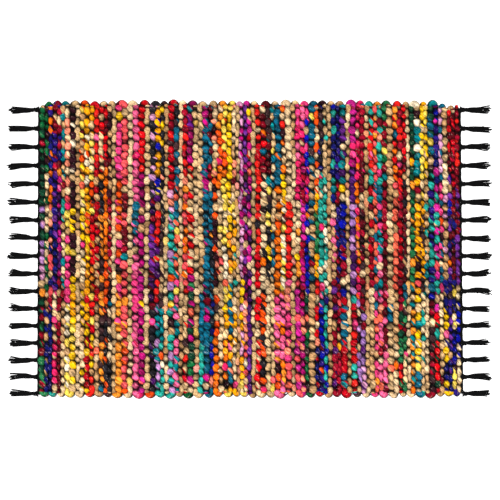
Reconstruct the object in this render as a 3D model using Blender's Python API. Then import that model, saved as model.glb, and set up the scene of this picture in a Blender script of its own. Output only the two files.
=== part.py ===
"""A flat hand-woven rag rug: thick picks of twisted rag and jute, beaded by a thin cotton warp,
between two black headings, with the warp ends tied in tassels at both ends.

The rug lies on z = 0. Its length, along the warp, is X, and its width, along the picks, is Y.
The far selvedge is at +Y. Sizes are in metres."""

import math
import random

import bmesh
import bpy

# Driving dimensions
OVERALL_LENGTH = 0.972  # from tassel tip to tassel tip
RUG_WIDTH = 0.600  # from selvedge to selvedge
GAP = 0.0003  # between neighbouring pieces

# The outer edges of the two headings aren't quite parallel: x at the far and near selvedges.
ENDS = {
    "left": {"side": -1, "far_x": -0.4250, "near_x": -0.4268},
    "right": {"side": 1, "far_x": 0.4246, "near_x": 0.4298},
}

# The weft from the left end to the right end, one letter a pick. A letter names its cloth.
WEFT = (
    "gbbstkjyysrcjjhsjhcj"
    "kyjrtjrmjjtkjooyjlp"
    "jrcktojjhbtokjbpjm"
    "ocjstsjjrcjgwygbljrc"
)
CLOTHS = {
    "g": ("forest_green", (0.02, 0.13, 0.06)),
    "b": ("navy", (0.02, 0.03, 0.22)),
    "s": ("salmon", (0.75, 0.27, 0.20)),
    "t": ("teal", (0.02, 0.28, 0.32)),
    "k": ("charcoal", (0.03, 0.03, 0.04)),
    "j": ("jute", (0.50, 0.35, 0.19)),
    "y": ("yellow", (0.85, 0.55, 0.06)),
    "r": ("red", (0.58, 0.02, 0.03)),
    "c": ("crimson", (0.28, 0.01, 0.05)),
    "h": ("hot_pink", (0.80, 0.12, 0.32)),
    "m": ("magenta", (0.42, 0.03, 0.25)),
    "o": ("orange", (0.85, 0.25, 0.03)),
    "l": ("lilac", (0.42, 0.24, 0.50)),
    "p": ("purple", (0.13, 0.03, 0.20)),
    "w": ("cream", (0.80, 0.72, 0.58)),
}
BLACK_COTTON = ("black_cotton", (0.012, 0.012, 0.014))

# The picks: a jute pick is thinner than a rag pick, and each is pinched in by every warp.
BEADS_A_PICK = 35
RAG = {"width": 1.00, "height": 0.0120}
JUTE = {"width": 0.78, "height": 0.0098}
PINCH_HEIGHT = 0.0066  # where a pick dips under the warp
EDGE_HEIGHT = 0.0050  # at the outline
HEIGHT_SPREAD = 0.0008
BEAD_SHIFT = 0.0010  # how far a bead strays along its pick
SWAY = 0.0016  # how far a pick wanders to the side
SWAY_WAVES = {"along_pick": 11.0, "along_rug": 23.0, "shear": 3.0}  # radians a metre
UNDERCUT = 0.0015  # the outline's foot lies this far in

# The selvedges: each weft turn bulges, the notches between turns and the corners fall back.
TURN_SPREAD = 0.0030
NOTCH_DEPTH = 0.0032
NOTCH_HEIGHT = 0.0038
CORNER_DROPS = {
    ("left", 1): (0.0090, 0.0010),
    ("right", 1): (0.0090, 0.0080, 0.0070, 0.0040, 0.0040),
    ("left", -1): (0.0010, 0.0040),
    ("right", -1): (0.0010, 0.0010, 0.0030),
}

# The headings
HEADING_WIDTH = 0.0050
HEADING_TOP = 0.0052
HEADING_SHOULDER = 0.0038
HEADING_SHORTER = 0.0040  # than the rug's end edge, at each corner
HEADING_FLARE = 0.0015  # how far the warps draw it out at each tassel

# The tassels. Their spacing closes up a little from the far selvedge to the near one.
TASSELS = 17
FIRST_TASSEL_Y = 0.2805
FIRST_SPACING = 0.0377
SPACING_CHANGE = -0.00027
TASSEL_LENGTH_SPREAD = 0.0040
# The knotted head, as hexagonal rings out from the heading.
HEAD_RINGS = (
    {"out": 0.0000, "radius": 0.0022},
    {"out": 0.0034, "radius": 0.0041},
    {"out": 0.0072, "radius": 0.0027},
    {"out": 0.0110, "radius": 0.0034},
)
# The sixths of the head's end, counted round from +Y, in the order in which their strands lie
# across the floor: an upper strand comes down beside each lower one.
STRAND_ORDER = (2, 3, 4, 1, 5, 0)
STRAND_INSET = 0.0008  # between the roots of the strands
# The strands touch down side by side, then run along the floor to the tip.
STRAND_STATIONS = (
    {"reach": 0.42, "pitch": 0.0023, "width": 0.0010, "height": 0.0013},
    {"reach": 1.00, "pitch": 0.0026, "width": 0.0019, "height": 0.0016},
)
STRAND_TIP_SPREAD = 0.0060  # strands end up to this much short of the longest
TASSEL_LEAN = 0.0025  # sideways, at the tip

draw = random.Random(21)


def mix(a, b, share):
    return a + (b - a) * share


def material(name, colour, roughness=0.9):
    made = bpy.data.materials.get(name) or bpy.data.materials.new(name)
    made.use_nodes = True
    shader = made.node_tree.nodes["Principled BSDF"]
    shader.inputs["Base Color"].default_value = (*colour, 1.0)
    shader.inputs["Roughness"].default_value = roughness
    shader.inputs["Metallic"].default_value = 0.0
    made.diffuse_color = (*colour, 1.0)
    return made


def new_object(name, bm, collection):
    """Stores the bmesh as one object of the rug."""
    bmesh.ops.recalc_face_normals(bm, faces=bm.faces)
    mesh = bpy.data.meshes.new(name)
    bm.to_mesh(mesh)
    bm.free()
    thing = bpy.data.objects.new(name, mesh)
    collection.objects.link(thing)
    return thing


def end_x(end, y, inset=0.0):
    """The x of a heading's outer edge at y, or of a line that far inside it."""
    row = ENDS[end]
    x = mix(row["near_x"], row["far_x"], y / RUG_WIDTH + 0.5)
    return x - row["side"] * inset


def woven_end_x(end, y):
    return end_x(end, y, HEADING_WIDTH + GAP)


def pick_shares():
    """Where each pick's centre lies along the woven length, from 0 to 1."""
    widths = [(JUTE if cloth == "j" else RAG)["width"] for cloth in WEFT]
    starts = [sum(widths[:i]) for i in range(len(widths))]
    return [(s + w / 2) / sum(widths) for s, w in zip(starts, widths)]


def selvedge(side):
    """The y of the selvedge at each pick. The weft turns join the picks two by two."""
    first = 0 if side > 0 else 1
    turns = [draw.uniform(0, TURN_SPREAD) for _ in range(len(WEFT) // 2 + 1)]
    back = [turns[(i + first) // 2] for i in range(len(WEFT))]
    for i, drop in enumerate(CORNER_DROPS["left", side]):
        back[i] += drop
    for i, drop in enumerate(CORNER_DROPS["right", side]):
        back[-1 - i] += drop
    return [side * (RUG_WIDTH / 2 - b + min(back)) for b in back]


class Weave:
    """The rug's upper face: a column of points for each pick and for both end edges,
    and a row for each bead and each pinch between beads, from the near to the far selvedge."""

    rows = 2 * BEADS_A_PICK
    columns = len(WEFT) + 1

    def __init__(self):
        self.shares = [0.0, *pick_shares(), 1.0]
        self.near = self.with_ends(selvedge(-1), -1)
        self.far = self.with_ends(selvedge(1), 1)

    def with_ends(self, ys, side):
        """Adds the rug's corners, a little further back than the picks beside them."""
        return [ys[0] - side * NOTCH_DEPTH, *ys, ys[-1] - side * NOTCH_DEPTH]

    def is_edge(self, column, row):
        return column in (0, self.columns) or row in (0, self.rows)

    def is_bead(self, column, row):
        return (column + row) % 2 == 0 and not self.is_edge(column, row)

    def height(self, column, row):
        if self.is_edge(column, row):
            return EDGE_HEIGHT
        if not self.is_bead(column, row):
            return PINCH_HEIGHT
        cloth = JUTE if WEFT[column - 1] == "j" else RAG
        return cloth["height"] - draw.uniform(0, HEIGHT_SPREAD)

    def point(self, column, row):
        y = mix(self.near[column], self.far[column], row / self.rows)
        x = mix(woven_end_x("left", y), woven_end_x("right", y), self.shares[column])
        if not self.is_edge(column, row):
            y += draw.uniform(-BEAD_SHIFT, BEAD_SHIFT)
        along = math.sin(SWAY_WAVES["along_pick"] * y + SWAY_WAVES["shear"] * x)
        waves = along * math.sin(SWAY_WAVES["along_rug"] * x)
        x += SWAY * waves * math.sin(math.pi * self.shares[column])
        return x, y, self.height(column, row)


def notch_selvedges(bm, weave, place):
    """Puts a point between the weft turns and draws it in."""
    cuts = []
    for edge in [e for e in bm.edges if e.is_boundary]:
        (a, row_a), (b, row_b) = (place[v] for v in edge.verts)
        along_selvedge = row_a == row_b and row_a in (0, weave.rows)
        inner = 0 < min(a, b) and max(a, b) < weave.columns
        turn_starts = 1 if row_a == 0 else 0
        if along_selvedge and inner and min(a, b) % 2 == turn_starts:
            cuts.append((edge, 1 if row_a == 0 else -1))
    for edge, inwards in cuts:
        middle = bmesh.utils.edge_split(edge, edge.verts[0], 0.5)[1]
        middle.co.y += inwards * NOTCH_DEPTH
        middle.co.z = NOTCH_HEIGHT


def make_rug_body(collection):
    weave = Weave()
    bm = bmesh.new()
    bmesh.ops.create_grid(bm, x_segments=weave.columns, y_segments=weave.rows, size=0.5)
    place = {}
    for vert in bm.verts:
        column = round((vert.co.x + 0.5) * weave.columns)
        row = round((vert.co.y + 0.5) * weave.rows)
        place[vert] = (column, row)
    for vert, (column, row) in sorted(place.items(), key=lambda item: item[1]):
        vert.co = weave.point(column, row)
    # Each square of the grid folds along the line between its two pinches, and both halves
    # climb to a bead, whose cloth they take.
    for face in list(bm.faces):
        pinches = [v for v in face.verts if sum(place[v]) % 2]
        bmesh.utils.face_split(face, *pinches)
    cloth_slots = list(CLOTHS)
    for face in bm.faces:
        bead = next(v for v in face.verts if sum(place[v]) % 2 == 0)
        pick = min(max(place[bead][0], 1), len(WEFT)) - 1
        face.material_index = cloth_slots.index(WEFT[pick])
    notch_selvedges(bm, weave, place)
    # The outline goes down to the floor, and the underside is one flat face.
    rim = [e for e in bm.edges if e.is_boundary]
    grown = bmesh.ops.extrude_edge_only(bm, edges=rim)["geom"]
    foot = [g for g in grown if isinstance(g, bmesh.types.BMVert)]
    for vert in foot:
        vert.co.z = 0.0
        vert.co.x -= math.copysign(UNDERCUT, vert.co.x)
        vert.co.y -= math.copysign(UNDERCUT, vert.co.y)
    bmesh.ops.contextual_create(bm, geom=[e for e in bm.edges if e.is_boundary])
    thing = new_object("rug_body", bm, collection)
    for name, colour in CLOTHS.values():
        thing.data.materials.append(material(name, colour))
    return weave


def tassel_ys():
    """The tassels' places, from the far selvedge to the near one."""
    ys, y, spacing = [], FIRST_TASSEL_Y, FIRST_SPACING
    for _ in range(TASSELS):
        ys.append(y)
        y -= spacing
        spacing += SPACING_CHANGE
    return ys


def make_heading(end, weave, collection):
    """A band of fine picks that is drawn out to a blunt point at each tassel."""
    column = 0 if end == "left" else weave.columns
    far = weave.far[column] - HEADING_SHORTER
    near = weave.near[column] + HEADING_SHORTER
    ys = tassel_ys()
    between = [(a + b) / 2 for a, b in zip(ys, ys[1:])]
    stations = sorted([(y, HEADING_FLARE) for y in ys] + [(y, 0.0) for y in (far, near, *between)])
    bm = bmesh.new()
    ring = bmesh.ops.create_circle(bm, cap_ends=True, segments=5, radius=1.0)["verts"]
    face = bm.faces[:][0]
    for i, (y, flare) in enumerate(stations):
        if i:
            face = bmesh.ops.extrude_discrete_faces(bm, faces=[face])["faces"][0]
        inner = end_x(end, y, HEADING_WIDTH)
        outer = end_x(end, y) + ENDS[end]["side"] * flare
        profile = (
            (inner, 0.0),
            (outer, 0.0),
            (outer, HEADING_SHOULDER),
            (mix(inner, outer, 0.5), HEADING_TOP),
            (inner, HEADING_SHOULDER),
        )
        for vert, (x, z) in zip(face.verts, profile):
            vert.co = (x, y, z)
    bmesh.ops.contextual_create(bm, geom=ring)
    thing = new_object(f"heading_{end}", bm, collection)
    thing.data.materials.append(material(*BLACK_COTTON))


def lay_section(face, centre_y, section, x):
    """Moves a strand's three-cornered end face to a section that lies on the floor. A strand
    keeps the way up that its root has, on an edge or on a side, so that it isn't twisted."""
    half, height = section["width"] / 2, section["height"]
    middle = face.calc_center_median()
    on_an_edge = sum(v.co.z > middle.z for v in face.verts) == 2
    if on_an_edge:
        corners = [(centre_y, 0.0), (centre_y + half, height), (centre_y - half, height)]
    else:
        corners = [(centre_y, height), (centre_y - half, 0.0), (centre_y + half, 0.0)]
    odd_one = (min if on_an_edge else max)(face.verts, key=lambda v: v.co.z)
    start = list(face.verts).index(odd_one)
    for i, (y, z) in enumerate(corners):
        face.verts[(start + i) % 3].co = (x, y, z)


def angle_on_head(face):
    """A face's place around the head's axis, counted round from +Y."""
    middle = face.calc_center_median()
    lift = HEAD_RINGS[-1]["radius"] * math.sin(math.radians(60))
    return math.atan2(middle.z - lift, middle.y) % math.tau


def tassel_mesh(length):
    """A knotted head with strands drawn out of its end face, pointing along +X from x = 0."""
    bm = bmesh.new()
    first = bmesh.ops.create_circle(bm, cap_ends=True, segments=6, radius=1.0)["verts"]
    face = bm.faces[:][0]
    for i, ring in enumerate(HEAD_RINGS):
        if i:
            face = bmesh.ops.extrude_discrete_faces(bm, faces=[face])["faces"][0]
        lift = ring["radius"] * math.sin(math.radians(60))
        for k, vert in enumerate(face.verts):
            angle = math.radians(60 * k)
            vert.co = (
                ring["out"],
                ring["radius"] * math.cos(angle),
                lift + ring["radius"] * math.sin(angle),
            )
    bmesh.ops.contextual_create(bm, geom=first)
    # The end face is parted in six, and a strand grows from each sixth.
    sixths = bmesh.ops.poke(bm, faces=[face])["faces"]
    bmesh.ops.inset_individual(bm, faces=sixths, thickness=STRAND_INSET, use_even_offset=True)
    sixths.sort(key=angle_on_head)
    root = HEAD_RINGS[-1]["out"]
    lean = draw.uniform(-TASSEL_LEAN, TASSEL_LEAN)
    shorts = [draw.uniform(0, STRAND_TIP_SPREAD) for _ in sixths]
    for slot, sixth in enumerate(STRAND_ORDER):
        face = sixths[sixth]
        reach_x = length - root - shorts[slot] + min(shorts)
        for station in STRAND_STATIONS:
            face = bmesh.ops.extrude_discrete_faces(bm, faces=[face])["faces"][0]
            across = (slot - (len(STRAND_ORDER) - 1) / 2) * station["pitch"]
            sideways = lean * station["reach"] ** 2
            lay_section(face, across + sideways, station, root + reach_x * station["reach"])
    return bm


def make_tassels(end, collection):
    side = ENDS[end]["side"]
    shorts = [draw.uniform(0, TASSEL_LENGTH_SPREAD) for _ in range(TASSELS)]
    for i, y in enumerate(tassel_ys()):
        name = f"tassel_{end}_{i + 1:02d}"
        start = end_x(end, y) + side * (HEADING_FLARE + GAP)
        tip = side * (OVERALL_LENGTH / 2 - shorts[i] + min(shorts))
        thing = new_object(name, tassel_mesh(abs(tip - start)), collection)
        thing.location = (start, y, 0.0)
        thing.rotation_euler.z = 0.0 if side > 0 else math.pi
        thing.data.materials.append(material(*BLACK_COTTON))


def main():
    for old in list(bpy.data.objects):
        bpy.data.objects.remove(old, do_unlink=True)
    collection = bpy.data.collections.new("rag_rug")
    bpy.context.scene.collection.children.link(collection)
    weave = make_rug_body(collection)
    for end in ENDS:
        make_heading(end, weave, collection)
        make_tassels(end, collection)


main()
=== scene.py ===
# %% [markdown]
# # A hand-woven rag rug
#
# This notebook dresses the plain model of a rag rug so that it looks like the real one.
# The real rug is woven from two kinds of yarn. A thin black cotton warp runs along the rug,
# and a thick weft of twisted rags and jute runs across it. Each warp pinches the weft in,
# so that the weft swells into a row of beads between the warps. Fine black picks lock the
# weft at both ends, and the ends of the warp are knotted into tassels.
#
# The plain model has one solid for the woven body, one for each black heading and one for
# each tassel. We load it as a frame and weave the visible rug over it.

import math
import random

import bpy
import numpy as np
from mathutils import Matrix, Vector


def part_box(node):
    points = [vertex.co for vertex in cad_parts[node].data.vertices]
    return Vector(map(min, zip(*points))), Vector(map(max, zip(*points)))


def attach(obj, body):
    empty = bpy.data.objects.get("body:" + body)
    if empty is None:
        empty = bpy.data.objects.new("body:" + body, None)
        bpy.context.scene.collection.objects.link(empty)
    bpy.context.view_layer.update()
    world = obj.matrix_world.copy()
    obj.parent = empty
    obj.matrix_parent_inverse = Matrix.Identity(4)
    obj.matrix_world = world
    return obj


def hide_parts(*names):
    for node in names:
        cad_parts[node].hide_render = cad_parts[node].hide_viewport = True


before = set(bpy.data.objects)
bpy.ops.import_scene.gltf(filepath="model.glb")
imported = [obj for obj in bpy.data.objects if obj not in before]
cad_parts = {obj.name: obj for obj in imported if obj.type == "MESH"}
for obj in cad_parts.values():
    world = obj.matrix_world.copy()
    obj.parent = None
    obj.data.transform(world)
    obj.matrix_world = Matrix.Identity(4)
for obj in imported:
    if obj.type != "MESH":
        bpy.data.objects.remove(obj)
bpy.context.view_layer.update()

# %% [markdown]
# ## The rug's own measures
#
# The warp runs along X and the weft along Y. These are the sizes that the plain model was
# made from, in metres. We repeat them here, because this script reads nothing but the frame.
# The two ends aren't quite square to the selvedges, as on most hand-woven rugs.

# %% Sizes of the weave
RUG_WIDTH = 0.600
GAP = 0.0003
ENDS = {
    "left": {"side": -1, "far_x": -0.4250, "near_x": -0.4268},
    "right": {"side": 1, "far_x": 0.4246, "near_x": 0.4298},
}
HEADING_WIDTH = 0.0050
ROWS = 70  # the spaces between the warps, from selvedge to selvedge
MIDDLE = 0.0060  # the height of the warp, halfway up the rug


def mix(a, b, share):
    return a + (b - a) * share


def end_x(end, y, inset=0.0):
    """The x of a heading's outer edge at y, or of a line that far inside it."""
    row = ENDS[end]
    x = mix(row["near_x"], row["far_x"], y / RUG_WIDTH + 0.5)
    return x - row["side"] * inset


def woven_end_x(end, y):
    return end_x(end, y, HEADING_WIDTH + GAP)


print("woven length:", round(woven_end_x("right", 0) - woven_end_x("left", 0), 4), "m")

# %% [markdown]
# ## The weaver's chart
#
# A weaver of rag rugs picks up whatever strip comes to hand. Every pick is a rope of two
# cloths twisted together, and partway across the rug another pair is often joined on.
# So the chart has one word for each pick, from the left end to the right end. "bo>sb>bb" is
# blue with orange at the far selvedge, then salmon with blue, then plain blue at the near
# one. A plain "j" is a pick of jute, which is thinner than a pick of rags. No two strips
# were torn equally wide, so a word ends in "+" for a wide pick and in "-" for a narrow one.

# %% The order of the picks
CHART = """
gg>gl>gc gk>jg>bj- bo>sb>bb- bc>bp>hw cb>pm>cc- jt>jt>jj- sj>hy>yw kw>ky>yy+ j yo>yw>yj
yw>yo>ry wy>or>ry rr>rj>jj rw>ko>ko cr>oo>ko- jk>cj>kj- j hh>oh>oo+ ss>sc>so+ j+ hh>ht>hh+
rr>mm>mm+ j+ kl>pc>kp+ yb>pr>lt ky>kj>tt- j rr>tl>tl+ tk>st>ht j rc>so>jr mp>jr>gm+ j+
jj>jj>tt tm>tm>tm+ tc>tk>tb- js>ko>oo oo>js>jj oy>yw>yo yy>yo>ty js>yj>yj- j- lm>lm>yl-
pp>mp>sw- mr>pm>pp- j rr>rk>jr cr>wk>ok+ ck>yk>jj tj>jt>jj- to>oo>ho+ or>yw>ho jj>rr>hs+ j
hh>jo>ms hh>mc>ms hb>bb>kg- tt>jt>jj+ oj>gy>rb- kb>th>bb jt>tw>tb- j bt>jh>cp bb>bc>cc-
pt>bc>rt+ j mh>pl>rt+ hc>oh>lk- cc>ck>lp j rt>rc>jj so>st>hs- ts>ht>hs gc>cc>ch jj>jj>jj+
ro>ss>jj cr>cr>gr cr>ck>gw- j- gg>go>ot wt>yk>ty+ yy>yk>jt- yj>jt>jj- gt>tb>kc+ bm>mt>gr
lt>ht>jj- jw>jl>yb rc>pb>bp- cr>cb>by- rc>cp>bw-
""".split()
CLOTHS = {
    "g": ((10, 96, 50), (36, 120, 70), (16, 66, 44)),
    "b": ((6, 14, 152), (18, 20, 100), (38, 18, 112)),
    "s": ((255, 104, 76), (250, 84, 88), (255, 140, 108)),
    "t": ((0, 128, 134), (10, 98, 124), (36, 168, 150)),
    "k": ((34, 32, 38), (62, 38, 40), (48, 16, 26)),
    "j": ((218, 176, 124), (198, 150, 100), (238, 200, 152)),
    "y": ((255, 196, 10), (255, 164, 4), (255, 216, 84)),
    "r": ((224, 6, 20), (192, 2, 24), (244, 32, 24)),
    "c": ((132, 4, 28), (96, 8, 22), (164, 8, 40)),
    "h": ((248, 62, 128), (252, 98, 146), (240, 34, 100)),
    "m": ((186, 12, 112), (208, 34, 140), (144, 8, 80)),
    "o": ((255, 112, 8), (250, 78, 8), (255, 146, 40)),
    "l": ((190, 132, 188), (156, 110, 176), (222, 152, 190)),
    "p": ((86, 18, 108), (66, 18, 86), (110, 40, 140)),
    "w": ((246, 212, 164), (234, 194, 140), (252, 230, 194)),
}
PICKS = len(CHART)
PAIRS = [word.rstrip("+-").split(">") for word in CHART]
IS_JUTE = [pairs == ["j"] for pairs in PAIRS]
print("chart:", PICKS, "picks,", sum(IS_JUTE), "of jute,", len(CLOTHS), "cloths")

# %% [markdown]
# ## Where each pick lies
#
# The picks share the woven length by the widths that the chart gives them.
# At the selvedge the weft turns round and comes back as the next pick, so the turns join the
# picks two by two, and no two turns reach quite as far. The draws are fixed, so that the rug
# is the same each time.

# %% Lay out the picks
GIRTHS = {"-": 0.82, "+": 1.22}
JUTE_GIRTH = 0.87
TURN_SPREAD = 0.0030
CORNER_DROPS = {  # how far the outermost turns fall short at each worn corner
    ("left", 1): (0.0090, 0.0010),
    ("right", 1): (0.0090, 0.0080, 0.0070, 0.0040, 0.0040),
    ("left", -1): (0.0010, 0.0040),
    ("right", -1): (0.0010, 0.0010, 0.0030),
}
draw = random.Random(21)
GIRTH = [GIRTHS.get(word[-1], 1.0) * (JUTE_GIRTH if jute else 1.0)
         for word, jute in zip(CHART, IS_JUTE)]


def pick_shares():
    """Where each pick's centre lies along the woven length, from 0 to 1."""
    starts = [sum(GIRTH[:i]) for i in range(PICKS)]
    return [(s + g / 2) / sum(GIRTH) for s, g in zip(starts, GIRTH)]


def first_turn(side):
    """The first pick that turns back as the next one: the second pick at the far side."""
    return 1 if side > 0 else 0


def selvedge(side):
    """The y of the selvedge at each pick."""
    first = first_turn(side)
    turns = [draw.uniform(0, TURN_SPREAD) for _ in range(PICKS // 2 + 1)]
    back = [turns[(i + first) // 2] for i in range(PICKS)]
    for i, drop in enumerate(CORNER_DROPS["left", side]):
        back[i] += drop
    for i, drop in enumerate(CORNER_DROPS["right", side]):
        back[-1 - i] += drop
    return [side * (RUG_WIDTH / 2 - b + min(back)) for b in back]


SHARES = pick_shares()
NEAR = selvedge(-1)
FAR = selvedge(1)
PITCH = (woven_end_x("right", 0) - woven_end_x("left", 0)) / sum(GIRTH)
print("a pick of rags is", round(PITCH * 1000, 2), "mm wide, selvedge to selvedge",
      round((max(FAR) - min(NEAR)) * 1000, 1), "mm")


# %% [markdown]
# ## Formulas in a node tree
#
# Geometry Nodes can follow a formula, but a tree of a hundred Math nodes is hard to read.
# The small class below stands for a number on its way through a tree. Adding two of them
# adds a Math node, so a formula in this script looks like a formula. The same class serves
# the materials, because their trees use the same Math node.

# %% A number that travels through a node tree
class Field:
    def __init__(self, tree, socket):
        self.tree, self.socket = tree, socket

    def math(self, operation, *others):
        node = self.tree.nodes.new("ShaderNodeMath")
        node.operation = operation
        for entry, value in zip(node.inputs, (self, *others)):
            feed(self.tree, value, entry)
        return Field(self.tree, node.outputs[0])

    def __add__(self, other):
        return self.math("ADD", other)

    def __sub__(self, other):
        return self.math("SUBTRACT", other)

    def __mul__(self, other):
        return self.math("MULTIPLY", other)

    def __truediv__(self, other):
        return self.math("DIVIDE", other)

    def __pow__(self, other):
        return self.math("POWER", other)

    def __rsub__(self, other):
        return self * -1.0 + other

    __radd__ = __add__
    __rmul__ = __mul__

    def within(self, low, high):
        return self.math("MAXIMUM", low).math("MINIMUM", high)


def feed(tree, value, entry):
    """Links a field or a socket to an input, or sets the input to a plain value."""
    if isinstance(value, Field):
        value = value.socket
    if isinstance(value, bpy.types.NodeSocket):
        tree.links.new(value, entry)
    else:
        entry.default_value = value


def step(tree, kind, settings=None, **inputs):
    """Adds a node. An input's name is written with _ for each space."""
    node = tree.nodes.new(kind)
    for name, value in (settings or {}).items():
        setattr(node, name, value)
    for name, value in inputs.items():
        feed(tree, value, node.inputs[name.replace("_", " ")])
    return node


def smooth(value, low, high):
    """Rises softly from 0 at low to 1 at high."""
    share = ((value - low) / (high - low)).within(0.0, 1.0)
    return share * share * (3.0 - 2.0 * share)


def sine(value):
    return value.math("SINE") if isinstance(value, Field) else math.sin(value)


def cosine(value):
    return value.math("COSINE")


# %% [markdown]
# A tree gets its points or lines from a chart: a bare mesh whose points carry named numbers.
# `grow` runs the tree on the chart and keeps the result as a plain mesh at the origin.
# Every rope is swept from a ring of points, so each point is numbered round its ring.

# %% Helpers that run a tree on a chart
def new_tree(name, inputs):
    """An empty tree with a geometry input and output and the named inputs."""
    tree = bpy.data.node_groups.new(name, "GeometryNodeTree")
    face = tree.interface
    face.new_socket("Geometry", in_out="OUTPUT", socket_type="NodeSocketGeometry")
    face.new_socket("Geometry", in_out="INPUT", socket_type="NodeSocketGeometry")
    for label, kind in inputs.items():
        face.new_socket(label, in_out="INPUT", socket_type="NodeSocket" + kind)
    return tree, tree.nodes.new("NodeGroupInput")


def named(tree, name):
    """A number that the chart's points carry."""
    node = step(tree, "GeometryNodeInputNamedAttribute", {"data_type": "FLOAT"}, Name=name)
    return Field(tree, node.outputs["Attribute"])


def store(tree, geometry, name, value, kind="FLOAT"):
    """Stores a number or vector on every point, under a name."""
    settings = {"data_type": kind, "domain": "POINT"}
    node = step(tree, "GeometryNodeStoreNamedAttribute", settings, Geometry=geometry, Name=name)
    feed(tree, value, node.inputs["Value"])
    return node.outputs["Geometry"]


def vector(tree, x, y, z):
    return step(tree, "ShaderNodeCombineXYZ", X=x, Y=y, Z=z).outputs["Vector"]


def parts(tree, socket):
    """The x, y and z of a vector."""
    split = step(tree, "ShaderNodeSeparateXYZ", Vector=socket)
    return [Field(tree, output) for output in split.outputs]


def point_place(tree):
    """The x, y and z of each point, as it is before the tree moves it."""
    return parts(tree, tree.nodes.new("GeometryNodeInputPosition").outputs[0])


def number_round(x, y, sides):
    """The number of a point on a ring, counted round from +X."""
    around = (y.math("ARCTAN2", x) / math.tau + 1.0).math("FRACT") * sides
    return around.math("ROUND").math("MODULO", sides)


def chart(name, points, lines=(), **columns):
    """A mesh of bare points, or of points joined into lines, that carry named numbers."""
    mesh = bpy.data.meshes.new(name)
    mesh.from_pydata(points, lines, [])
    for column, numbers in columns.items():
        mesh.attributes.new(column, "FLOAT", "POINT").data.foreach_set("value", numbers)
    return mesh


def add_object(name, data):
    """A new object at the origin."""
    made = bpy.data.objects.new(name, data)
    bpy.context.scene.collection.objects.link(made)
    return made


def grow(name, source, tree, **inputs):
    """Runs a tree on a chart and returns the result as a plain mesh object."""
    seed = add_object(name + "_chart", source)
    modifier = seed.modifiers.new("grow", "NODES")
    modifier.node_group = tree
    for socket in tree.interface.items_tree:
        if socket.in_out == "INPUT" and socket.name in inputs:
            modifier[socket.identifier] = inputs[socket.name]
    graph = bpy.context.evaluated_depsgraph_get()
    mesh = bpy.data.meshes.new_from_object(
        seed.evaluated_get(graph), preserve_all_data_layers=True, depsgraph=graph
    )
    bpy.data.objects.remove(seed)
    return add_object(name, mesh)


def values(mesh, name, width=1):
    """A named attribute of a mesh as an array."""
    layer = mesh.attributes[name]
    kept = np.empty(len(layer.data) * width, np.float32)
    layer.data.foreach_get("value" if width == 1 else "vector", kept)
    return kept if width == 1 else kept.reshape(-1, width)


# %% [markdown]
# ## Three finishes
#
# The rug needs rags, jute and black cotton. An image of cloth would have to be laid over
# thousands of beads, so each finish is a rule instead, and the rule reads what the mesh
# carries. The attribute `rope` is the place of a point on its rope if the rope were pulled
# straight, so a pattern follows every turn. `cloth` and `twin` are the two colours that the
# weaver's chart gives to each bead. A last number says how deep a point lies between the
# beads, and the finishes darken the colour there by it, as painted shade.

# %% Helpers for the materials
def new_material(name):
    made = bpy.data.materials.new(name)
    made.use_nodes = True
    return made, made.node_tree, made.node_tree.nodes["Principled BSDF"]


def carried(tree, name, output):
    """A colour or vector that the mesh carries."""
    node = step(tree, "ShaderNodeAttribute", {"attribute_name": name})
    return node.outputs[output]


def noise(tree, place, scale, detail=2.0, roughness=0.5):
    node = step(tree, "ShaderNodeTexNoise", Vector=place, Scale=scale, Detail=detail,
                Roughness=roughness)
    return Field(tree, node.outputs["Fac"])


def blend(tree, share, a, b, kind="MIX"):
    """One colour laid over another."""
    settings = {"data_type": "RGBA", "blend_type": kind, "clamp_result": True}
    node = step(tree, "ShaderNodeMix", settings)
    feed(tree, share, node.inputs[0])
    feed(tree, a, node.inputs[6])
    feed(tree, b, node.inputs[7])
    return node.outputs[2]


def grey(tree, value):
    return vector(tree, value, value, value)


def raise_by(tree, shader, height, distance):
    """Bump from a height between 0 and 1."""
    bump = step(tree, "ShaderNodeBump", Strength=1.0, Distance=distance, Height=height)
    feed(tree, bump.outputs["Normal"], shader.inputs["Normal"])


def rope_places(tree, twist, stretch):
    """The angle round a twisted rope, and a place on it that turns with the twist."""
    along, side, up = parts(tree, carried(tree, "rope", "Vector"))
    wound = along * (math.tau / twist)
    angle = up.math("ARCTAN2", side) + wound
    turned = (
        side * cosine(wound) - up * sine(wound),
        side * sine(wound) + up * cosine(wound),
    )
    return angle, vector(tree, along * stretch, *turned)
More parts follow.
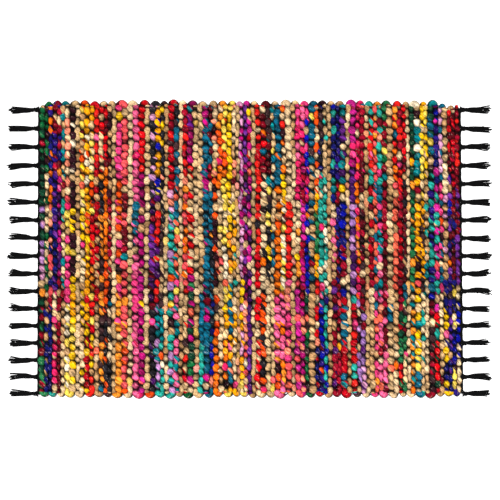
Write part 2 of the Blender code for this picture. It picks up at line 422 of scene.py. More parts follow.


# %% [markdown]
# The rags are soft cotton, matt and wrinkled, with a little pale nap. The wrinkles are
# painted into the colour as painted light and shade, and the pale flecks are partly nap and
# partly painted highlight. Two cloths are twisted together, so the second one winds round
# the bead as a stripe, with a seam where the two meet that is darkened as painted shade. A
# rag that is squeezed between its neighbours gets no light, so painted shade fades its
# colour to near black there.

# %% The twisted rags
def make_rag_finish():
    made, tree, shader = new_material("twisted_rags")
    angle, place = rope_places(tree, twist=0.034, stretch=0.55)
    wound = sine(angle + 6.0 * noise(tree, place, 80.0, 2.0))
    stripe = smooth(wound, 0.20, 0.46)
    cloths = blend(tree, stripe, carried(tree, "cloth", "Color"), carried(tree, "twin", "Color"))
    # pale flecks: partly nap, partly painted highlight
    nap_and_highlight = smooth(noise(tree, place, 400.0, 3.0, 0.6), 0.60, 0.68)
    cloths = blend(tree, nap_and_highlight * 0.26, cloths, (0.95, 0.76, 0.58, 1.0))
    # the folds bump the cloth and also paint it lighter and darker, as painted light and shade
    folds = noise(tree, place, 230.0, 3.0, 0.65)
    # painted shade between the beads, carried by the mesh
    painted_shade = Field(tree, carried(tree, "painted_shade", "Fac"))
    # the seam where the two cloths meet, darkened below as painted shade in the groove
    seam = (1.0 - (wound - 0.33).math("ABSOLUTE")).math("MAXIMUM", 0.0) ** 8.0
    shade = (0.34 + 0.96 * smooth(folds, 0.36, 0.62)) * (1.0 - 0.95 * painted_shade)
    shade = shade * (1.0 - 0.26 * seam)
    colour = blend(tree, 1.0, cloths, grey(tree, shade), "MULTIPLY")
    feed(tree, colour, shader.inputs["Base Color"])
    raise_by(tree, shader, folds - 0.22 * seam, 0.0022)
    shader.inputs["Roughness"].default_value = 0.80
    shader.inputs["Specular IOR Level"].default_value = 0.06
    return made


rags = make_rag_finish()
print("made", rags.name)

# %% [markdown]
# Jute is a coarse pale fibre, spun into a two-ply yarn and left undyed. Its fibres show as
# fine streaks along the twist, some pale and some brown, with a groove between the plies.
# The streaks are a noise drawn out along the rope, and slower lumps lie under them. The
# groove is painted darker, as painted shade, and so is the jute between the beads, where
# its colour fades to near black.

# %% The jute
def make_jute_finish():
    made, tree, shader = new_material("plied_jute")
    angle, place = rope_places(tree, twist=0.018, stretch=0.12)
    streaks = noise(tree, place, 1500.0, 2.0, 0.6)
    # the ply bumps the yarn and also paints its groove darker, as painted shade
    ply = sine(angle * 2.0).math("ABSOLUTE")
    # painted shade between the beads, carried by the mesh
    painted_shade = Field(tree, carried(tree, "painted_shade", "Fac"))
    lumps = smooth(noise(tree, carried(tree, "rope", "Vector"), 340.0, 2.0), 0.36, 0.64)
    # streaks and lumps are the jute's own tone; the ply term and the last factor are painted
    # shade
    shade = (0.12 + 0.70 * streaks + 0.20 * ply + 0.55 * lumps) * (1.0 - 0.96 * painted_shade)
    colour = blend(tree, 1.0, carried(tree, "cloth", "Color"), grey(tree, shade), "MULTIPLY")
    feed(tree, colour, shader.inputs["Base Color"])
    raise_by(tree, shader, ply ** 0.6 * 0.6 + streaks * 0.5, 0.0010)
    shader.inputs["Roughness"].default_value = 0.93
    shader.inputs["Specular IOR Level"].default_value = 0.08
    return made


jute = make_jute_finish()
print("made", jute.name)

# %% [markdown]
# The warp, the headings and the tassels are all one black cotton yarn, plied from thin
# strands. Black cotton is never quite black: its nap catches the light along each ply.
# That highlight is painted into the colour, so the tone rises steeply where a ply and its
# fibres both stand up.

# %% The black cotton
def make_black_finish():
    made, tree, shader = new_material("black_cotton_yarn")
    angle, place = rope_places(tree, twist=0.0048, stretch=0.2)
    ply = sine(angle * 1.5).math("ABSOLUTE")
    fibres = noise(tree, place, 2600.0, 2.0, 0.6)
    # painted highlight along each ply, on a near-black base
    black_with_highlight = 0.0015 + 0.050 * (ply * fibres) ** 3.0
    feed(tree, vector(tree, black_with_highlight, black_with_highlight, black_with_highlight * 1.06), shader.inputs["Base Color"])
    raise_by(tree, shader, ply * 0.7 + fibres * 0.4, 0.0005)
    shader.inputs["Roughness"].default_value = 0.8
    shader.inputs["Specular IOR Level"].default_value = 0.02
    shader.inputs["Sheen Weight"].default_value = 0.01
    shader.inputs["Sheen Roughness"].default_value = 0.5
    return made


black = make_black_finish()
print("made", black.name)

# %% [markdown]
# ## The weft as a formula
#
# A pick is one rope with hundreds of beads, so it is made by a rule and not by hand. The
# tree puts a plain tube on each point of the chart. Then it moves every ring of the tube to
# its place on the pick, and every point of a ring to its place round the section.
#
# `row` counts the warps, and `r` says where a ring is on its bead: 0 on the crest and 1 at
# the pinch, where a warp passes over. Neighbouring picks are half a bead apart, because
# their warps lie the other way up. The underside is beaded half a bead off the upper side.
# Some warps are loose where they cross, so that two beads almost run into one.

# %% Sizes of a bead
BEADS = ROWS // 2 + 3
STRAIGHT_RINGS = 336
TURN_RINGS = 10
ALL_RINGS = STRAIGHT_RINGS + 2 * TURN_RINGS
RING_SIDES = 10
ROPE_RADIUS = 0.005  # of the rope pulled straight, which the finishes read
BEAD = {  # widths are shares of the pick's width, below and above
    "pinch": 0.0058,  # how high the rag is under a warp
    "waist": (1.26, 0.64),  # how wide it is there
    "belly": (1.22, 1.42),  # how wide its crests are
    "turn_top": 0.0112,
    "turn_foot": 0.0010,
    "turn_width": 1.10,
    "slant": 0.16,
}
CHANCE = {"tall": 0.09, "stout": (0.04, 0.32), "stray": (0.0001, 0.0021), "slant": 0.40}
LOOSE = {"pinch": 0.0028, "waist": 0.42}
DRIFT = 0.0018
SWAY = 0.0016
TWIST = 370.0  # radians a metre
TWIST_LOBE = 0.12
print("a bead every", round(2000 * RUG_WIDTH / ROWS, 1), "mm, with", ROWS - 1, "warps")


# %% [markdown]
# On a real loom nothing runs quite straight. The warps drift, the picks sway, and no bead is
# quite as long as the next. Sums of slow sine waves do that. They are written once, for
# plain numbers and for trees alike, so that the black warps follow the same way as the weft.

# %% Drift, sway and swell
def drift(x, y):
    """How far the warps stray along a pick, which makes some beads longer than others."""
    slow = sine(x * 311.0 + y * 97.0) + 0.5 * sine(x * 487.0 + y * 53.0)
    return DRIFT * (slow + 0.8 * sine(x * 143.0 - y * 411.0 + 1.7))


def sway(x, y):
    """How a pick wanders from a straight line."""
    slow = sine(11.0 * y + 3.0 * x) * sine(23.0 * x)
    quick = sine(58.0 * y + 47.0 * x) + 0.7 * sine(103.0 * y - 71.0 * x + 0.8)
    return SWAY * (slow + 0.62 * quick)


def bulge(r):
    """The swell of a bead: full on its crest, round at its ends and gone at the pinch."""
    return (1.0 - r ** 2.0).math("MAXIMUM", 0.0) ** 0.75


print("at the middle of the rug a warp drifts by", round(drift(0.0, 0.0) * 1000, 2), "mm")

# %% [markdown]
# First the tree finds the middle of each ring. Most of the rings lie on the straight run
# between the selvedges, and the first and last few go round the turns. A half circle is
# easy to write with a sine and a cosine, so the turns need no curve of their own. Where a
# rope ends inside its partner, its last rings shrink to a point, which closes it softly.

# %% The first half of the tree: where each ring goes
def ring_places(tree, ring):
    """The middle of each ring, its place along the rope, the way it faces, how far into a turn
    it is, and how open it still is where the rope ends."""
    share = ((ring - TURN_RINGS) / STRAIGHT_RINGS).within(0.0, 1.0)
    far_turn = ((ring - (TURN_RINGS + STRAIGHT_RINGS)) / TURN_RINGS).within(0.0, 1.0)
    near_turn = ((TURN_RINGS - ring) / TURN_RINGS).within(0.0, 1.0)
    near, far = named(tree, "near_start"), named(tree, "far_start")
    straight = near + (far - near) * share
    x = named(tree, "x_middle") + named(tree, "x_slope") * straight
    x = x + sway(x, straight) * named(tree, "looseness")
    y, along = straight, straight
    cosines, sines = [], []
    for end, turn, way_y in (("near", near_turn, -1.0), ("far", far_turn, 1.0)):
        radius, way = named(tree, end + "_radius"), named(tree, end + "_way")
        reach = named(tree, end + "_reach")
        angle = turn * named(tree, end + "_sweep")
        x = x + way * radius * (1.0 - cosine(angle))
        arch = named(tree, end + "_arch")
        y = y + way_y * (radius * arch * sine(angle) + reach * turn)
        along = along + way_y * (radius * angle + reach * turn)
        cosines.append(cosine(angle))
        sines.append(way * sine(angle) * -way_y)
    across = (cosines[0] * cosines[1], sines[0] + sines[1])
    shut = near_turn * 0.0
    for end, turn in (("near", near_turn), ("far", far_turn)):
        hold = named(tree, end + "_hold")
        shut = shut.math("MAXIMUM", (turn - hold) / (1.0 - hold))
    shut = (1.0 - shut.within(0.0, 0.985) ** 2.0).math("SQRT")
    return x, y, along, across, near_turn.math("MAXIMUM", far_turn), shut


# %% [markdown]
# Then it shapes the section. A real bead is a rag that bulges out between two pinches, and
# some are fatter, lower, or lean to one side. So every bead gets its own chance numbers, by
# the number of its pick and its own. The upper and the lower half of a section belong to
# two different beads, and the sides blend from the one to the other.

# %% The second half of the tree: the shape of each bead
def bead_spread(tree, bead, salt):
    """A fixed chance number from -1 to 1 for each bead."""
    node = tree.nodes.new("FunctionNodeRandomValue")
    node.data_type = "FLOAT"
    found = {socket.identifier: socket for socket in node.inputs}
    feed(tree, -1.0, found["Min_001"])
    feed(tree, 1.0, found["Max_001"])
    feed(tree, named(tree, "pick") * 100.0 + bead, found["ID"])
    feed(tree, salt, found["Seed"])
    return Field(tree, {s.identifier: s for s in node.outputs}["Value_001"])


def section(tree, angle, row, turn, along, shut):
    """The sideways and upward place of a point on the section, and which bead it is on."""
    top_bead = ((row + named(tree, "parity")) / 2.0).math("ROUND")
    low_bead = ((row + named(tree, "parity")) / 2.0).math("FLOOR")
    r = (row + named(tree, "parity")).math("PINGPONG", 1.0)
    crest, pick = named(tree, "crest"), named(tree, "pick")
    thick = 0.10 * sine(along * 29.0 + pick * 2.4) * sine(along * 11.0 + pick * 5.1)
    ball = smooth(turn, 0.10, 0.34) * (1.0 - smooth(turn, 0.66, 0.92))
    faces = []
    loose = bead_spread(tree, low_bead, 11).within(0.0, 1.0)
    beads = (low_bead, bulge(1.0 - r), 3), (top_bead, bulge(r), 7)
    for face, (bead, swell, salt) in enumerate(beads):
        pinch = BEAD["pinch"] + LOOSE["pinch"] * loose * face
        waist = BEAD["waist"][face] + LOOSE["waist"] * loose * face
        belly = BEAD["belly"][face]
        tall = crest * (1.0 - CHANCE["tall"] * (1.0 + bead_spread(tree, bead, salt)))
        rise = pinch + (tall - pinch) * swell
        stout = 1.0 + thick * face + CHANCE["stout"][face] * bead_spread(tree, bead, salt + 1)
        wide = waist + (belly * stout - waist) * swell
        stray = CHANCE["stray"][face] * bead_spread(tree, bead, salt + 2) * swell
        slant = BEAD["slant"] + CHANCE["slant"] * bead_spread(tree, bead, salt + 3)
        slant = slant * swell
        faces.append((rise, wide, stray, slant))
    (low, low_wide, low_stray, low_slant), (top, top_wide, top_stray, top_slant) = faces
    foot = 2.0 * MIDDLE - low
    top = top + (BEAD["turn_top"] - top) * ball
    foot = foot + (BEAD["turn_foot"] - foot) * ball
    lobe = 1.0 - TWIST_LOBE * (0.5 - 0.5 * cosine(angle * 2.0 + along * TWIST))
    up, side = sine(angle) * lobe, cosine(angle) * lobe
    share = smooth(up, -0.3, 0.9)
    wide = low_wide + (top_wide - low_wide) * share
    wide = named(tree, "width") * (wide + (BEAD["turn_width"] - wide) * ball)
    stray = (low_stray + (top_stray - low_stray) * share) * (1.0 - ball)
    height = (top + foot) / 2.0 + ((top - foot) / 2.0 * up) * shut
    slant = (low_slant + (top_slant - low_slant) * share) * (1.0 - ball) * (1.0 - turn)
    sideways = (wide / 2.0 * side - stray) * shut
    return sideways, slant * wide / 2.0 * side, height, top_bead, low_bead


# %% [markdown]
# The whole tree copies one plain tube to every point of the chart, numbers its rings and
# the points of each ring, and moves them all to their places. Modelling a tube by hand and
# bending it would take as long for each of the ninety picks as this takes for them all.

# %% The whole tree of the weft
def make_weft_tree():
    tree, start = new_tree("weft_picks", {"Sides": "Int", "Rings": "Int", "Rag": "Material",
                                          "Jute": "Material"})
    tube = step(tree, "GeometryNodeMeshCylinder", {"fill_type": "NGON"}, Radius=1.0, Depth=1.0,
                Vertices=start.outputs["Sides"], Side_Segments=start.outputs["Rings"])
    x, y, z = point_place(tree)
    rings = ((z + 0.5) * ALL_RINGS).math("ROUND")
    geometry = store(tree, tube.outputs["Mesh"], "step", rings)
    sides = Field(tree, start.outputs["Sides"])
    geometry = store(tree, geometry, "around", number_round(x, y, sides))
    tubes = step(tree, "GeometryNodeInstanceOnPoints", Points=start.outputs["Geometry"],
                 Instance=geometry)
    solid = step(tree, "GeometryNodeRealizeInstances", Geometry=tubes.outputs["Instances"])
    ring, angle = named(tree, "step"), named(tree, "around") * math.tau / sides
    x, y, along, across, turn, shut = ring_places(tree, ring)
    strayed = y - drift(x, y)
    row = ROWS * (strayed - named(tree, "near")) / (named(tree, "far") - named(tree, "near"))
    side, slip, height, top_bead, low_bead = section(tree, angle, row, turn, along, shut)
    at_far = ring.math("GREATER_THAN", TURN_RINGS + STRAIGHT_RINGS + 0.5)
    at_near = ring.math("LESS_THAN", TURN_RINGS - 0.5)
    top_bead = (top_bead + (BEADS - 1.0 - top_bead) * at_far) * (1.0 - at_near)
    spot = vector(tree, x - across[0] * side, y - across[1] * side + slip, height)
    geometry = solid.outputs["Geometry"]
    rope = vector(tree, along, ROPE_RADIUS * cosine(angle), ROPE_RADIUS * sine(angle))
    geometry = store(tree, geometry, "rope", rope, "FLOAT_VECTOR")
    geometry = store(tree, geometry, "top_bead", top_bead)
    geometry = store(tree, geometry, "low_bead", low_bead)
    moved = step(tree, "GeometryNodeSetPosition", Geometry=geometry, Position=spot)
    shaded = step(tree, "GeometryNodeSetShadeSmooth", Geometry=moved.outputs["Geometry"])
    ragged = step(tree, "GeometryNodeSetMaterial", Geometry=shaded.outputs["Geometry"],
                  Material=start.outputs["Rag"])
    fibrous = step(tree, "GeometryNodeSetMaterial", Geometry=ragged.outputs["Geometry"],
                   Selection=named(tree, "is_jute"), Material=start.outputs["Jute"])
    step(tree, "NodeGroupOutput", Geometry=fibrous.outputs["Geometry"])
    return tree


weft_tree = make_weft_tree()
print("weft tree:", len(weft_tree.nodes), "nodes")

# %% [markdown]
# ## Turns at the selvedges
#
# At the near selvedge the first pick turns back as the second, the third as the fourth, and
# so on. At the far selvedge the pairs are shifted by one. One pick of each pair carries
# the turn, a half circle that reaches its partner, and the partner just ends inside it.
# Where two partners end far apart, as at a worn corner, both are simply tucked in.

# %% How a pick ends
TURN = {
    "stretch": 0.0030,  # how much longer than a half circle a turn is
    "girth": 1.04,  # of the rope in a turn
    "worn": 0.0035,  # partners whose ends lie further apart than this don't meet
    "tucked": 0.0062,  # how far a lone end runs on
    "joined": 0.0045,  # how far an end runs on inside its partner's turn
    "open": 0.78,  # how far round a turn the rope keeps its girth
}


def pick_x(i, y):
    """The x of pick i where it crosses y, without its wandering."""
    return mix(woven_end_x("left", y), woven_end_x("right", y), SHARES[i])


def straight_end(start, reach):
    return {"start": start, "reach": reach, "radius": 0.0, "way": 1.0, "sweep": 0.0}


def end_of_pick(i, side, ys):
    """How pick i ends at this side: where it starts to turn, and how."""
    partner = i + 1 if (i + first_turn(side)) % 2 == 0 else i - 1
    if not 0 <= partner < PICKS or abs(ys[i] - ys[partner]) > TURN["worn"]:
        return straight_end(ys[i] - side * TURN["tucked"], TURN["tucked"])
    radius = abs(pick_x(partner, ys[i]) - pick_x(i, ys[i])) / 2
    apex = (ys[i] + ys[partner]) / 2
    start = apex - side * (radius + PITCH / 2 * TURN["girth"] + TURN["stretch"])
    first_leads = random.Random(min(i, partner) * 7 + side).random() < 0.5
    if (i < partner) != first_leads:
        return straight_end(start, TURN["joined"])
    return {"start": start, "reach": 0.0, "radius": radius, "way": float(partner - i),
            "sweep": math.pi}


far_turns = sum(end_of_pick(i, 1, FAR)["sweep"] > 0.0 for i in range(PICKS))
print("turns at the far selvedge:", far_turns)


# %% [markdown]
# All of this goes into the chart of the weft, as a point for each pick with a number for
# each thing that the tree asks for. A narrow strip also makes a slightly lower bead.

# %% The chart of the weft
CREST = {"rag": 0.0122, "jute": 0.0098, "narrow": 0.004}


def crest(i):
    """How high the beads of pick i stand."""
    narrow = max(0.0, 1.0 - GIRTH[i])
    return CREST["jute"] if IS_JUTE[i] else CREST["rag"] - CREST["narrow"] * narrow


def weft_chart(name, picks):
    """The chart of some picks, one point each."""
    columns = {}

    def note(column, value):
        columns.setdefault(column, []).append(float(value))

    for i in picks:
        note("pick", i)
        note("parity", (i + 1) % 2)
        note("is_jute", IS_JUTE[i])
        note("x_middle", pick_x(i, 0.0))
        note("x_slope", pick_x(i, 1.0) - pick_x(i, 0.0))
        note("looseness", math.sin(math.pi * SHARES[i]))
        note("near", NEAR[i])
        note("far", FAR[i])
        note("crest", crest(i))
        note("width", PITCH * GIRTH[i])
        ends = {"near": end_of_pick(i, -1, NEAR), "far": end_of_pick(i, 1, FAR)}
        for end, found in ends.items():
            for word, value in found.items():
                note(f"{end}_{word}", value)
            note(f"{end}_hold", TURN["open"] if found["sweep"] else 0.0)
            note(f"{end}_arch", 1.0 + TURN["stretch"] / max(found["radius"], 0.001))
    return chart(name, [(0.0, 0.0, 0.0)] * len(picks), **columns)


print("beads stand", sorted({round(crest(i) * 1000, 1) for i in range(PICKS)}), "mm high")


# %% [markdown]
# ## Which cloth is on each bead
#
# The chart gives two cloths for a pick, but from bead to bead it is chance which of the two
# comes up on top. Now and then a scrap of another cloth is twisted in, most often a bit of
# jute or cream. Every draw is made once, with a fixed seed.

# %% Colours of the beads
def linear(colour):
    """An 8-bit screen colour as the light that a shader works with."""
    share = np.array(colour, np.float64) / 255.0
    return np.where(share <= 0.04045, share / 12.92, ((share + 0.055) / 1.055) ** 2.4)


DYE = 0.90
BRIGHTNESS = (0.74, 1.18)
JOIN_SPREAD = 0.18  # of the length of a pair, either way
SCRAPS = {"rag": "jjjjjjwkyocsht", "jute": "sjhwy"}
LUCK = {"swapped": 0.36, "scrap": {"rag": 0.12, "jute": 0.08}, "plain": 0.62, "new_shade": 0.12}
JUTE_SHARE = 0.55  # a rag scrap in a jute yarn is half hidden by the fibres


def bead_cloths(i, face):
    """The main and the twin colour of each bead of pick i, from the near selvedge."""
    chance = random.Random(1000 * face + i)
    pairs = PAIRS[i]
    joins = [(k + chance.uniform(-JOIN_SPREAD, JOIN_SPREAD)) / len(pairs)
             for k in range(1, len(pairs))]
    shade = {}
    main, twin = [], []
    for bead in range(BEADS):
        pair = pairs[sum(1.0 - bead / BEADS > join for join in joins)]
        kind = "jute" if pair == "j" else "rag"
        letters = [pair[0], pair[-1]]
        if chance.random() < LUCK["swapped"]:
            letters.reverse()
        if chance.random() < LUCK["scrap"][kind]:
            letters[0] = chance.choice(SCRAPS[kind])
        if chance.random() < LUCK["plain"]:
            letters[1] = letters[0]
        for letter, row in zip(letters, (main, twin)):
            if letter not in shade or chance.random() < LUCK["new_shade"]:
                shade[letter] = chance.choice(CLOTHS[letter])
            colour = linear(shade[letter]) * DYE * chance.uniform(*BRIGHTNESS)
            if kind == "jute" and letter != "j":
                colour = mix(colour, linear(CLOTHS["j"][0]) * DYE, JUTE_SHARE)
            row.append(np.clip(colour, 0.0, 1.0))
    return np.array(main), np.array(twin)


print("first bead of the first pick:", bead_cloths(0, 0)[0][0].round(2))

# %% [markdown]
# A point takes the colour of the bead that it is on, above or below. A second number says
# how far down between the beads it lies: 0 on the top quarter of a bead, and 1 at the height
# of the warp and a little over it. The finishes darken the colour by it, as painted shade.
# It is worked out from the finished mesh, because only there is each point in its place.

# %% Dye the mesh and paint the shade between the beads
# OPEN_FROM and OPEN_SPAN set where the painted shade fades in over a bead's height, and UPPER's
# light says which points count as upper for it
OPEN_FROM, OPEN_SPAN = 0.12, 0.62  # shares of a bead's height over the warp
UPPER = {"cloth": -0.25, "light": -0.6}  # where the upper part of a rope begins, from -1 to 1


def dye_and_paint_shade(mesh):
    """Gives every point of a band the colours of its bead, and the painted shade between the
    beads.
    """
    picks = np.rint(values(mesh, "pick")).astype(int)
    up = values(mesh, "rope", 3)[:, 2] / ROPE_RADIUS
    above = up > UPPER["cloth"]
    bead = np.where(above, values(mesh, "top_bead"), values(mesh, "low_bead"))
    bead = np.clip(np.rint(bead).astype(int), 0, BEADS - 1)
    colours = np.ones((2, len(picks), 4), np.float32)
    for i in np.unique(picks):
        for face in (0, 1):
            here = (picks == i) & (above == (face == 0))
            for layer, table in enumerate(bead_cloths(int(i), face)):
                colours[layer, here, :3] = table[bead[here]]
    places = np.empty(len(picks) * 3, np.float32)
    mesh.vertices.foreach_get("co", places)
    # painted shade: 1 deep between the beads, 0 on the top quarter of a bead
    height = np.where(up > UPPER["light"], 1.0, -1.0) * (places[2::3] - MIDDLE)
    share = height / (values(mesh, "crest") - MIDDLE)
    share = np.clip((share - OPEN_FROM) / OPEN_SPAN, 0.0, 1.0)
    painted_shade = 1.0 - share * share * (3.0 - 2.0 * share)
    for name, layer in (("cloth", colours[0]), ("twin", colours[1])):
        found = mesh.attributes.new(name, "FLOAT_COLOR", "POINT")
        found.data.foreach_set("color", layer.ravel())
    found = mesh.attributes.new("painted_shade", "FLOAT", "POINT")
    found.data.foreach_set("value", painted_shade.astype(np.float32))


# %% [markdown]
# ## A flat map for every rope
#
# A piece needs a map of its surface if its colours are ever to be baked. A rope is easy to
# unroll: its length goes along the map and its girth across it. A long rope is folded into
# a few strips, so that the map isn't stretched.

# %% Unroll the ropes
def counts(items, name):
    """A whole number of each corner or face of a mesh as an array."""
    kept = np.empty(len(items), np.int32)
    items.foreach_get(name, kept)
    return kept


def unroll(mesh, sides, folds=1):
    """Gives each rope of a mesh its own strips of the map."""
    corners = counts(mesh.loops, "vertex_index")
    starts = counts(mesh.polygons, "loop_start")
    totals = counts(mesh.polygons, "loop_total")
    face = np.repeat(np.arange(len(totals)), totals)
    rope = np.unique(values(mesh, "pick"), return_inverse=True)[1][corners]
    ring, around = values(mesh, "step")[corners], np.rint(values(mesh, "around"))[corners]
    last = np.zeros(rope.max() + 1)
    np.maximum.at(last, rope, ring)
    low, high = np.minimum.reduceat(ring, starts), np.maximum.reduceat(ring, starts)
    is_cap = (high - low < 0.5)[face]
    spread = np.maximum.reduceat(around, starts) - np.minimum.reduceat(around, starts)
    wraps = (spread > sides / 2)[face] & ~is_cap & (around < sides / 2)
    across = (around + sides * wraps) / sides
    fold = np.floor(low[face] * folds / last[rope] + 1e-6)
    fold = np.clip(fold, 0, folds - 1)
    u = 0.01 + 0.98 * (ring * folds / last[rope] - fold)
    turn = math.tau * around / sides
    u = np.where(is_cap, np.where(ring > 0, 0.9955, 0.0045) + 0.004 * np.cos(turn), u)
    v = np.where(is_cap, 0.5 + 0.4 * np.sin(turn), 0.05 + 0.9 * across)
    v = (rope * folds + fold + v) / ((rope.max() + 1) * folds)
    layer = mesh.uv_layers.new(name="OFBake")
    layer.data.foreach_set("uv", np.stack([u, v], 1).astype(np.float32).ravel())


def tidy_attributes(mesh, kept):
    """Drops the numbers that only the making needed."""
    for name in [a.name for a in mesh.attributes]:
        layer = mesh.attributes[name]
        if not (layer.is_internal or layer.is_required or name in kept):
            mesh.attributes.remove(layer)


# %% [markdown]
# ## Weave the weft
#
# The picks are woven in bands of four, because one mesh of the whole weft would be too
# heavy. Each band replaces a slice of the plain rug body, and together the bands are one
# flat cloth of the rug's full width.

# %% The weft in bands
KEPT = ("position", "OFBake", "rope", "cloth", "twin", "painted_shade", "sharp_face",
        "material_index")
BAND = 4
bands = []
for first in range(0, PICKS, BAND):
    picks = range(first, min(first + BAND, PICKS))
    name = f"weft_{len(bands) + 1:02d}"
    band = grow(name, weft_chart(name, picks), weft_tree, Sides=RING_SIDES, Rings=ALL_RINGS,
                Rag=rags, Jute=jute)
    dye_and_paint_shade(band.data)
    unroll(band.data, RING_SIDES, folds=3)
    tidy_attributes(band.data, KEPT)
    bands.append((band, picks))


def triangles(piece):
    return sum(len(face.vertices) - 2 for face in piece.data.polygons)


print("weft:", len(bands), "bands,", sum(triangles(band) for band, _ in bands), "triangles")

# %% [markdown]
# ## Cords along lines
#
# Everything black is yarn laid along a line: the warps, the fine picks of the headings, the
# strands and knots of the tassels. So one tree serves them all. It turns the chart's lines
# into curves and sweeps an oval along them, kept level with the floor.

# %% The tree of the cords
def make_cord_tree():
    inputs = {"Sides": "Int", "Width": "Float", "Height": "Float", "Material": "Material"}
    tree, start = new_tree("cords_on_lines", inputs)
    lines = step(tree, "GeometryNodeMeshToCurve", Mesh=start.outputs["Geometry"])
    level = step(tree, "GeometryNodeSetCurveNormal", {"mode": "Z_UP"},
                 Curve=lines.outputs["Curve"])
    thick = step(tree, "GeometryNodeSetCurveRadius", Curve=level.outputs["Curve"],
                 Radius=named(tree, "thickness"))
    length = step(tree, "GeometryNodeSplineParameter").outputs["Length"]
    curves = store(tree, thick.outputs["Curve"], "along", length)
    oval = step(tree, "GeometryNodeCurvePrimitiveCircle", Resolution=start.outputs["Sides"],
                Radius=0.5)
    x, y, _ = point_place(tree)
    sides = Field(tree, start.outputs["Sides"])
    ring = store(tree, oval.outputs["Curve"], "around", number_round(x, y, sides))
    size = vector(tree, start.outputs["Width"], start.outputs["Height"], 1.0)
    ring = step(tree, "GeometryNodeTransform", Geometry=ring, Scale=size)
    swept = step(tree, "GeometryNodeCurveToMesh", Curve=curves,
                 Profile_Curve=ring.outputs["Geometry"])
    swept.inputs["Fill Caps"].default_value = True
    angle = named(tree, "around") * math.tau / sides
    rope = vector(tree, named(tree, "along"), 0.001 * cosine(angle), 0.001 * sine(angle))
    geometry = store(tree, swept.outputs["Mesh"], "rope", rope, "FLOAT_VECTOR")
    shaded = step(tree, "GeometryNodeSetShadeSmooth", Geometry=geometry)
    solid = step(tree, "GeometryNodeRealizeInstances", Geometry=shaded.outputs["Geometry"])
    dyed = step(tree, "GeometryNodeSetMaterial", Geometry=solid.outputs["Geometry"],
                Material=start.outputs["Material"])
    step(tree, "NodeGroupOutput", Geometry=dyed.outputs["Geometry"])
    return tree


cord_tree = make_cord_tree()
print("cord tree:", len(cord_tree.nodes), "nodes")

# %% [markdown]
# A cord is then only a list of places with a thickness at each. All cords of one kind are
# made together as one mesh, which is much faster than a mesh for each yarn.

# %% Cords from lists of places
def cord_chart(name, cords):
    """A chart of lines. Each cord is a list of (x, y, z, thickness)."""
    points, lines, thickness, steps, numbers = [], [], [], [], []
    for number, cord in enumerate(cords):
        base = len(points)
        for k, (x, y, z, thick) in enumerate(cord):
            points.append((x, y, z))
            thickness.append(thick)
            steps.append(float(k))
            numbers.append(float(number))
            if k:
                lines.append((base + k - 1, base + k))
    return chart(name, points, lines, thickness=thickness, step=steps, pick=numbers)


def make_cords(name, cords, sides, width, height):
    """Cords of one kind, as one piece of black cotton."""
    piece = grow(name, cord_chart(name, cords), cord_tree, Sides=sides, Width=width,
                 Height=height, Material=black)
    unroll(piece.data, sides)
    tidy_attributes(piece.data, KEPT)
    return piece


# %% [markdown]
# ## The warps
#
# Each warp goes over one pick and under the next. It shows as a short dark dash across
# every pinch. Between the beads it runs hidden inside the rug. It keeps level over each
# pick for the length of a dash, so its line has two points for each pick.

# %% The warps
WARP = {"width": 0.0020, "height": 0.0013, "lift": 0.0008, "dash": 0.0015}
WARP_END = {"inside": 0.0006, "height": 0.0028}  # where it runs into the heading


def warp_line(row):
    """One warp from the left heading to the right one."""
    line = []
    for i in range(PICKS):
        y = mix(NEAR[i], FAR[i], row / ROWS)
        x = pick_x(i, y)
        x += sway(x, y) * math.sin(math.pi * SHARES[i])
        y += drift(x, y)
        over = 1 if (i + 1 + row) % 2 else -1
        z = MIDDLE + over * WARP["lift"]
        line += [(x - WARP["dash"], y, z, 1.0), (x + WARP["dash"], y, z, 1.0)]
    ends = []
    for end, (_, y, _, thick) in (("left", line[0]), ("right", line[-1])):
        x = end_x(end, y, HEADING_WIDTH - WARP_END["inside"])
        ends.append((x, y, WARP_END["height"], thick))
    return [ends[0], *line, ends[1]]


warps = make_cords("warps", [warp_line(row) for row in range(1, ROWS)], 5, WARP["width"],
                   WARP["height"])
print("warps:", ROWS - 1, "threads,", triangles(warps), "triangles")

# %% [markdown]
# ## The headings
#
# Before the first rag and after the last, the weaver throws a few picks of the fine black
# cotton. They are beaten up close, so they read as a narrow ribbed band. Where the warps
# leave the band to be knotted, they draw its edge out to a blunt point. So the places of
# the tassels come first, and the fine picks follow them.

# %% The headings
TASSELS = 17
FIRST_TASSEL_Y = 0.2805
FIRST_SPACING = 0.0377
SPACING_CHANGE = -0.00027
HEADING_FLARE = {"out": 0.0015, "reach": 0.0105}
HEADING_SHORTER = 0.0057  # than the rug at each of its corners
FINE_PICKS = 4
FINE = {"width": 0.0017, "height": 0.0030, "level": 0.0024, "wave": 0.0008, "swell": 0.10}


def tassel_ys():
    """The tassels' places, from the far selvedge to the near one."""
    ys, y, spacing = [], FIRST_TASSEL_Y, FIRST_SPACING
    for _ in range(TASSELS):
        ys.append(y)
        y -= spacing
        spacing += SPACING_CHANGE
    return ys


def flare(y):
    """How far the heading's edge is drawn out at y, from 0 to 1."""
    nearest = min(abs(y - place) for place in tassel_ys())
    return max(0.0, 1.0 - nearest / HEADING_FLARE["reach"]) ** 1.3


